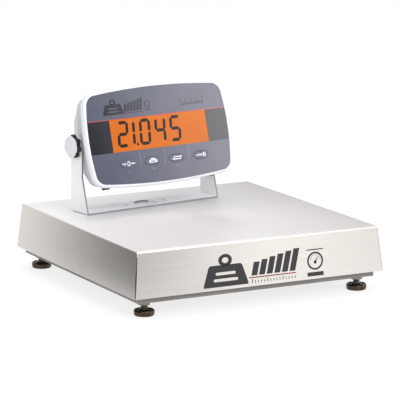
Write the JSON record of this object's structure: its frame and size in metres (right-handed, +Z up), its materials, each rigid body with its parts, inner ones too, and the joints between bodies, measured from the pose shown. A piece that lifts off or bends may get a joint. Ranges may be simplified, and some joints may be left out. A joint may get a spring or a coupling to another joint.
{
  "type": "bench scale",
  "caption": "Bench scale: square stainless pan on a load cell and levelling frame, with a tilting display unit in a U bracket on the pan.",
  "frame": {"origin": "on the floor under the middle of the pan", "axes": "+Z up, -Y towards the user's side (the long printed side of the pan skirt), +X to the user's right"},
  "size_m": [0.3154, 0.3154, 0.2212],
  "materials": {
    "stainless": "brushed stainless sheet",
    "frame_paint": "grey painted steel",
    "cell_alloy": "clear anodised",
    "zinc_steel": "bright zinc plated",
    "foot_metal": "dark glossy plating",
    "rubber": "moulded rubber",
    "level_clear": "clear vial with green liquid",
    "bracket_powder": "white powder coat",
    "housing_abs": "fine textured white ABS",
    "overlay_film": "printed slate polyester film",
    "key_film": "embossed slate polyester film",
    "window_clear": "clear display window",
    "display_amber": "amber liquid crystal display",
    "backlight": "light guide",
    "board_green": "solder mask",
    "brass": "turned brass",
    "nylon": "nylon",
    "battery_black": "battery case",
    "knob_black": "black moulded knob",
    "knob_white": "white moulded knob face",
    "dome_metal": "stainless snap domes"
  },
  "bodies": {
    "base": {"frame_front_rail": "frame_paint", "frame_right_rail": "frame_paint", "frame_rear_rail": "frame_paint", "frame_left_rail": "frame_paint", "foot_bushes": "zinc_steel", "foot_lock_nuts": "zinc_steel", "load_cell_beam": "frame_paint", "load_cell": "cell_alloy", "cell_lower_spacer": "zinc_steel", "cell_lower_bolts": "zinc_steel", "bubble_level": "level_clear", "lead_grommets": "rubber"},
    "platform": {"cell_upper_spacer": "zinc_steel", "cell_upper_bolts": "zinc_steel", "spider_beam": "frame_paint", "spider_left_bar": "frame_paint", "spider_right_bar": "frame_paint", "overload_stop_screws": "zinc_steel", "overload_stop_nuts": "zinc_steel", "pan_rests": "rubber"},
    "pan": {"weighing_pan": "stainless"},
    "bracket": {"indicator_bracket": "bracket_powder"},
    "indicator": {"front_bezel": "housing_abs", "shell_gasket": "rubber", "rear_shell": "housing_abs", "pivot_inserts": "brass", "pivot_pads": "nylon", "cell_lead_gland": "nylon", "power_jack": "nylon", "housing_bumpers": "rubber", "shell_screws": "zinc_steel", "face_overlay": "overlay_film", "display_window": "window_clear", "display_glass": "display_amber", "backlight_panel": "backlight", "display_board": "board_green", "main_board": "board_green", "board_spacers": "brass", "battery": "battery_black", "key_domes": "dome_metal"},
    "zero_key": {"zero_key": "key_film"},
    "print_key": {"print_key": "key_film"},
    "units_key": {"units_key": "key_film"},
    "tare_key": {"tare_key": "key_film"},
    "washer_left": {"knob_washer_left": "zinc_steel"},
    "knob_left": {"knob_grip_left": "knob_black", "knob_face_left": "knob_white", "knob_stud_left": "zinc_steel"},
    "washer_right": {"knob_washer_right": "zinc_steel"},
    "knob_right": {"knob_grip_right": "knob_black", "knob_face_right": "knob_white", "knob_stud_right": "zinc_steel"},
    "foot_front_left": {"foot_pad_front_left": "foot_metal"},
    "stud_front_left": {"foot_stud_front_left": "zinc_steel"},
    "foot_front_right": {"foot_pad_front_right": "foot_metal"},
    "stud_front_right": {"foot_stud_front_right": "zinc_steel"},
    "foot_rear_left": {"foot_pad_rear_left": "foot_metal"},
    "stud_rear_left": {"foot_stud_rear_left": "zinc_steel"},
    "foot_rear_right": {"foot_pad_rear_right": "foot_metal"},
    "stud_rear_right": {"foot_stud_rear_right": "zinc_steel"}
  },
  "joints": [
    {"name": "platform_flex", "type": "slide", "parent": "base", "child": "platform", "axis": [0, 0, 1], "range_m": [-0.0004, 0], "stiffness_N_per_m": 700000, "deforming": ["load_cell"]},
    {"name": "pan_lift_off", "type": "slide", "parent": "platform", "child": "pan", "axis": [0, 0, 1], "range_m": [0, 0.12]},
    {"name": "bracket_lift_off", "type": "slide", "parent": "pan", "child": "bracket", "axis": [0, 0, 1], "range_m": [0, 0.15]},
    {"name": "indicator_tilt", "type": "hinge", "parent": "bracket", "child": "indicator", "pos_m": [-0.02586, 0.08585, 0.154], "axis": [0.9903, 0.1392, 0], "range_deg": [-50, 20]},
    {"name": "zero_key_press", "type": "slide", "parent": "indicator", "child": "zero_key", "axis": [-0.1347, 0.9587, -0.2504], "range_m": [0, 0.0004], "stiffness_N_per_m": 2000},
    {"name": "print_key_press", "type": "slide", "parent": "indicator", "child": "print_key", "axis": [-0.1347, 0.9587, -0.2504], "range_m": [0, 0.0004], "stiffness_N_per_m": 2000},
    {"name": "units_key_press", "type": "slide", "parent": "indicator", "child": "units_key", "axis": [-0.1347, 0.9587, -0.2504], "range_m": [0, 0.0004], "stiffness_N_per_m": 2000},
    {"name": "tare_key_press", "type": "slide", "parent": "indicator", "child": "tare_key", "axis": [-0.1347, 0.9587, -0.2504], "range_m": [0, 0.0004], "stiffness_N_per_m": 2000},
    {"name": "knob_left_back_off", "type": "slide", "parent": "indicator", "child": "washer_left", "axis": [-0.9903, -0.1392, 0], "range_m": [0, 0.0021]},
    {"name": "knob_left_turn", "type": "hinge", "parent": "washer_left", "child": "knob_left", "pos_m": [-0.12192, 0.07235, 0.154], "axis": [-0.9903, -0.1392, 0], "range_deg": [0, 720]},
    {"name": "knob_right_back_off", "type": "slide", "parent": "indicator", "child": "washer_right", "axis": [0.9903, 0.1392, 0], "range_m": [0, 0.0021]},
    {"name": "knob_right_turn", "type": "hinge", "parent": "washer_right", "child": "knob_right", "pos_m": [0.07019, 0.09935, 0.154], "axis": [0.9903, 0.1392, 0], "range_deg": [0, 720]},
    {"name": "foot_front_left_travel", "type": "slide", "parent": "base", "child": "foot_front_left", "axis": [0, 0, -1], "range_m": [-0.0035, 0.01]},
    {"name": "foot_front_left_turn", "type": "hinge", "parent": "foot_front_left", "child": "stud_front_left", "pos_m": [-0.1355, -0.1355, 0.01], "axis": [0, 0, -1], "range_deg": [-1030, 2900]},
    {"name": "foot_front_right_travel", "type": "slide", "parent": "base", "child": "foot_front_right", "axis": [0, 0, -1], "range_m": [-0.0035, 0.01]},
    {"name": "foot_front_right_turn", "type": "hinge", "parent": "foot_front_right", "child": "stud_front_right", "pos_m": [0.1355, -0.1355, 0.01], "axis": [0, 0, -1], "range_deg": [-1030, 2900]},
    {"name": "foot_rear_left_travel", "type": "slide", "parent": "base", "child": "foot_rear_left", "axis": [0, 0, -1], "range_m": [-0.0035, 0.01]},
    {"name": "foot_rear_left_turn", "type": "hinge", "parent": "foot_rear_left", "child": "stud_rear_left", "pos_m": [-0.1355, 0.1355, 0.01], "axis": [0, 0, -1], "range_deg": [-1030, 2900]},
    {"name": "foot_rear_right_travel", "type": "slide", "parent": "base", "child": "foot_rear_right", "axis": [0, 0, -1], "range_m": [-0.0035, 0.01]},
    {"name": "foot_rear_right_turn", "type": "hinge", "parent": "foot_rear_right", "child": "stud_rear_right", "pos_m": [0.1355, 0.1355, 0.01], "axis": [0, 0, -1], "range_deg": [-1030, 2900]}
  ],
  "couplings": [
    {"joint": "knob_left_back_off", "follows": "knob_left_turn", "m_per_rad": 0.00015915},
    {"joint": "knob_right_back_off", "follows": "knob_right_turn", "m_per_rad": 0.00015915},
    {"joint": "foot_front_left_turn", "follows": "foot_front_left_travel", "rad_per_m": 5026.5},
    {"joint": "foot_front_right_turn", "follows": "foot_front_right_travel", "rad_per_m": 5026.5},
    {"joint": "foot_rear_left_turn", "follows": "foot_rear_left_travel", "rad_per_m": 5026.5},
    {"joint": "foot_rear_right_turn", "follows": "foot_rear_right_travel", "rad_per_m": 5026.5}
  ]
}
